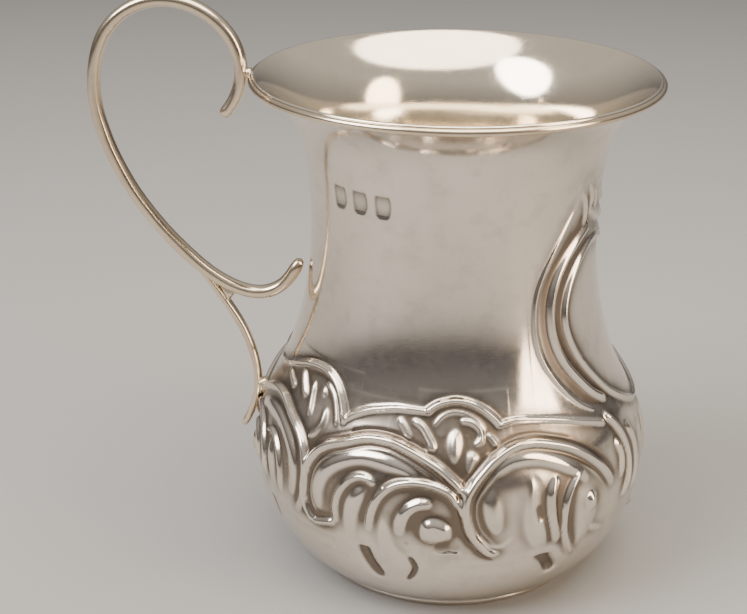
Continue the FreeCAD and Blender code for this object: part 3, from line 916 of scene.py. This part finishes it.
class Nodes:
    """A short way to write a node tree."""

    def __init__(self, name):
        self.material = bpy.data.materials.new(name)
        self.material.use_nodes = True
        self.tree = self.material.node_tree
        self.shader = self.tree.nodes["Principled BSDF"]

    def add(self, kind, inputs=(), **settings):
        node = self.tree.nodes.new(kind)
        for key, value in settings.items():
            setattr(node, key, value)
        for key, value in dict(inputs).items():
            if isinstance(value, bpy.types.NodeSocket):
                self.tree.links.new(value, node.inputs[key])
            else:
                node.inputs[key].default_value = value
        return node

    def noise(self, where, scale, detail=3.0, roughness=0.55):
        node = self.add(
            "ShaderNodeTexNoise", {
                "Vector": where, "Scale": scale, "Detail": detail, "Roughness": roughness,
            }
        )
        return node.outputs["Fac"]

    def math(self, operation, a, b=None):
        inputs = {0: a} if b is None else {0: a, 1: b}
        return self.add("ShaderNodeMath", inputs, operation=operation, use_clamp=False).outputs[0]

    def ramp(self, value, low, high, from_low=0.0, from_high=1.0):
        node = self.add(
            "ShaderNodeMapRange",
            {"Value": value, "From Min": from_low, "From Max": from_high, "To Min": low, "To Max": high},
        )
        return node.outputs["Result"]

    def mix(self, share, a, b):
        node = self.add("ShaderNodeMix", {}, data_type="RGBA")
        for socket, value in (("Factor", share), ("A", a), ("B", b)):
            target = [s for s in node.inputs if s.name == socket and s.enabled][0]
            if isinstance(value, bpy.types.NodeSocket):
                self.tree.links.new(value, target)
            else:
                target.default_value = value
        return [s for s in node.outputs if s.enabled][0]

    def attribute(self, name):
        return self.add("ShaderNodeAttribute", {}, attribute_name=name).outputs["Fac"]

    def set(self, **sockets):
        names = {
            "colour": "Base Color", "rough": "Roughness", "normal": "Normal",
            "metallic": "Metallic",
        }
        for key, value in sockets.items():
            socket = self.shader.inputs[names[key]]
            if isinstance(value, bpy.types.NodeSocket):
                self.tree.links.new(value, socket)
            else:
                socket.default_value = value


def silver(name, bright, shade, tarnish, rough_low, rough_high, has_relief):
    """Polished silver: soft colour drift, fine rubbing marks, and tarnish in the hollows."""
    n = Nodes(name)
    where = n.add("ShaderNodeTexCoord").outputs["Object"]
    drift = n.noise(where, 38.0, 2.0)
    colour = n.mix(n.ramp(drift, 0.0, 1.0, 0.35, 0.65), bright, shade)
    spots = n.noise(where, 260.0, 4.0, 0.65)
    film = n.ramp(spots, 0.0, 0.18, 0.5, 0.75)
    colour = n.mix(film, colour, tarnish)
    wear = n.noise(where, 620.0, 3.0, 0.7)
    rough = n.ramp(wear, rough_low, rough_high, 0.3, 0.7)
    stretched = n.add("ShaderNodeMapping", {"Vector": where, "Scale": (1.0, 1.0, 14.0)})
    rubbing = n.noise(stretched.outputs[0], 900.0, 2.0, 0.6)
    bumps = n.math("ADD", n.math("MULTIPLY", drift, 0.35), n.math("MULTIPLY", rubbing, 0.035))
    if has_relief:
        # Inside the jug the colour is painted brighter and warmer: a painted warm reflection of light in
        # the bowl.
        colour = n.mix(n.math("MULTIPLY", n.attribute("inside"), 0.7), colour, (0.95, 0.83, 0.64, 1))
        hollow = n.attribute("recess")
        matt = n.attribute("matting")
        colour = n.mix(n.ramp(hollow, 0.0, 0.85, 0.05, 0.9), colour, tarnish)
        rough = n.math("ADD", rough, n.math("MULTIPLY", hollow, 0.2))
        rough = n.math("ADD", rough, n.math("MULTIPLY", matt, 0.1))
    bump = n.add("ShaderNodeBump", {"Strength": 0.25, "Distance": 0.0004, "Height": bumps})
    n.set(colour=colour, rough=rough, normal=bump.outputs[0], metallic=1.0)
    return n.material


BODY_SILVER = silver(
    "body_silver", (0.86, 0.785, 0.70, 1), (0.78, 0.70, 0.60, 1), (0.09, 0.06, 0.037, 1), 0.08,
    0.14, True,
)
# The wire silver is painted darker and more golden than the body's: painted shade and warm reflection on
# the handle and rim wire.
WIRE_SILVER = silver(
    "wire_silver", (0.86, 0.74, 0.57, 1), (0.72, 0.58, 0.41, 1), (0.24, 0.15, 0.08, 1), 0.11, 0.2,
    False,
)
FOOT_SILVER = silver(
    "foot_silver", (0.86, 0.79, 0.70, 1), (0.74, 0.65, 0.54, 1), (0.28, 0.2, 0.13, 1), 0.14, 0.26,
    False,
)
SOLDER = silver(
    "solder_silver", (0.86, 0.76, 0.6, 1), (0.75, 0.62, 0.44, 1), (0.4, 0.27, 0.15, 1), 0.2, 0.38,
    False,
)

# ---------------------------------------------------------------- the pieces


def place(obj, node, slot):
    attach(obj, "root")
    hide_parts(node)


def round_section(centre, radius, count=20):
    angles = np.linspace(0, 2 * np.pi, count, endpoint=False)
    return [(centre[0] + radius * math.cos(a), centre[1] + radius * math.sin(a)) for a in angles]


place(shell_mesh(BODY_SILVER), "body_shell", "polished_silver")

FOOT_SECTION = (
    (FOOT_INNER, 0.2), (20.35, 0.05), (20.6, 0.0), (21.35, 0.0), (21.6, 0.06), (21.8, 0.24), (21.92, 0.5),
    (21.94, 0.75), (21.86, 1.0), (21.68, 1.2), (21.45, 1.29), (20.9, 1.3), (20.4, 1.3), (FOOT_INNER, 1.25),
)
place(turned("foot_ring_skin", FOOT_SECTION, 360, FOOT_SILVER, 0.0006), "foot_ring", "silver_wire")

DISC_SECTION = (
    (0.02, SEAT + 0.25), (6, SEAT + 0.24), (12, SEAT + 0.15), (16, SEAT + 0.05), (17.7, SEAT),
    (17.97, SEAT + 0.12),
    (17.97, SEAT + WALL - 0.1), (17.75, SEAT + WALL + 0.02), (16, SEAT + WALL + 0.06),
    (12, SEAT + WALL + 0.15),
    (6, SEAT + WALL + 0.24), (0.02, SEAT + WALL + 0.25),
)
place(turned("base_disc_skin", DISC_SECTION, 180, FOOT_SILVER), "base_disc", "polished_silver")

RIM_SECTION = round_section((RIM_RADIUS, RIM_HEIGHT), RIM_WIRE)
place(turned("rim_wire_skin", RIM_SECTION, 480, WIRE_SILVER, 0.0004), "rim_wire", "silver_wire")

handle_path = bend_path(HANDLE_START, HANDLE_HEADING, HANDLE_BENDS, 1)
lower_path = bend_path(LOWER_START, LOWER_HEADING, LOWER_BENDS, -1)
place(
    strap(
        "handle_scroll_skin", handle_path, HANDLE_WIDTH, HANDLE_THICKNESS, WIRE_SILVER, (1.2, 0.5),
        (2.2, 0.3),
    ),
    "handle_scroll",
    "silver_wire",
)
place(
    strap(
        "lower_scroll_skin", lower_path, LOWER_WIDTH, LOWER_THICKNESS, WIRE_SILVER, (0.5, 0.9),
        (1.2, 0.45),
    ),
    "lower_scroll",
    "silver_wire",
)
place(blob("rim_block_skin", (-31.25, 0, 77.9), (0.55, 1.05, 0.8), SOLDER), "rim_block", "silver_solder")
place(
    blob("belly_block_skin", (-30.2, 0, 26.25), (1.1, 1.2, 1.4), SOLDER), "belly_block",
    "silver_solder",
)
FORK = [(-37.1, 44.1), (-34.1, 42.6), (-35.45, 40.5)]
place(wedge("branch_solder_skin", FORK, 1.0, SOLDER), "branch_solder", "silver_solder")

# ---------------------------------------------------------------- stage, light, camera


def add_floor():
    floor = Nodes("floor")
    where = floor.add("ShaderNodeTexCoord").outputs["Object"]
    cloth = floor.noise(where, 6.0, 3.0)
    # The floor is painted darker away from the jug: a painted pool of light round it and painted shade
    # beyond, which the silver reflects.
    away = floor.add("ShaderNodeVectorMath", {0: where}, operation="LENGTH").outputs["Value"]
    far = floor.ramp(away, 0.0, 0.75, 0.12, 0.6)
    pale = floor.mix(cloth, (0.29, 0.287, 0.283, 1), (0.33, 0.327, 0.322, 1))
    floor.set(colour=floor.mix(far, pale, (0.1, 0.1, 0.105, 1)), rough=0.75)
    mesh = bpy.data.meshes.new("floor")
    size = 3.0
    mesh.from_pydata(
        [(-size, -size, 0), (size, -size, 0), (size, size, 0), (-size, size, 0)], [],
        [(0, 1, 2, 3)],
    )
    mesh.materials.append(floor.material)
    obj = bpy.data.objects.new("floor", mesh)
    bpy.context.scene.collection.objects.link(obj)


def add_light(name, place_at, target, size, power, colour):
    light = bpy.data.lights.new(name, "AREA")
    light.shape = "ELLIPSE"
    light.size, light.size_y = size
    light.energy = power
    light.color = colour
    obj = bpy.data.objects.new(name, light)
    bpy.context.scene.collection.objects.link(obj)
    obj.location = place_at
    direction = Vector(target) - Vector(place_at)
    obj.rotation_mode = "QUATERNION"
    obj.rotation_quaternion = direction.to_track_quat("-Z", "Y")


def add_world():
    world = bpy.data.worlds.new("studio")
    world.use_nodes = True
    tree = world.node_tree
    back = tree.nodes["Background"]
    back.inputs["Strength"].default_value = 0.8
    where = tree.nodes.new("ShaderNodeTexCoord")
    split = tree.nodes.new("ShaderNodeSeparateXYZ")
    tree.links.new(where.outputs["Generated"], split.inputs[0])
    ramp = tree.nodes.new("ShaderNodeValToRGB")
    ramp.color_ramp.elements[0].position = 0.02
    ramp.color_ramp.elements[0].color = (0.16, 0.15, 0.15, 1)
    ramp.color_ramp.elements[1].position = 0.6
    ramp.color_ramp.elements[1].color = (0.72, 0.69, 0.65, 1)
    tree.links.new(split.outputs["Z"], ramp.inputs[0])
    tree.links.new(ramp.outputs[0], back.inputs["Color"])
    bpy.context.scene.world = world


CAMERA_TURN = 5.0
CAMERA_RISE = 22.05
CAMERA_ROLL = 0.15
CAMERA_LENS = 75.57
SIGHT_HEIGHT = 39.3
CAMERA_DISTANCE = 248.0
CAMERA_SIDE = 12.28
CAMERA_LIFT = -1.61


def add_camera():
    turn, rise = math.radians(CAMERA_TURN), math.radians(CAMERA_RISE)
    back = Vector((math.sin(turn) * math.cos(rise), -math.cos(turn) * math.cos(rise), math.sin(rise)))
    right = Vector((math.cos(turn), math.sin(turn), 0))
    up = back.cross(right)
    place_at = Vector((0, 0, SIGHT_HEIGHT)) + back * CAMERA_DISTANCE
    place_at -= right * CAMERA_SIDE + up * CAMERA_LIFT
    camera = bpy.data.cameras.new("camera")
    camera.lens = CAMERA_LENS
    camera.sensor_width = 36.0
    camera.clip_start, camera.clip_end = 0.01, 20
    obj = bpy.data.objects.new("camera", camera)
    bpy.context.scene.collection.objects.link(obj)
    axes = Matrix((right, up, back)).transposed()
    obj.matrix_world = (
        Matrix.Translation(place_at * MM) @ axes.to_4x4() @ Matrix.Rotation(
            math.radians(CAMERA_ROLL), 4, "Z",
        )
    )
    bpy.context.scene.camera = obj


add_floor()
add_world()
add_light("key", (-0.5, -0.3, 0.6), (0, 0, 0.04), (0.5, 0.6), 8.0, (1.0, 0.96, 0.94))
add_light("fill", (0.7, -0.35, 0.28), (0, 0, 0.04), (0.4, 0.7), 6.0, (1.0, 0.8, 0.6))
add_light("overhead", (0.1, -0.1, 0.8), (0, 0, 0.05), (0.9, 0.8), 9.0, (1.0, 0.92, 0.8))
add_camera()
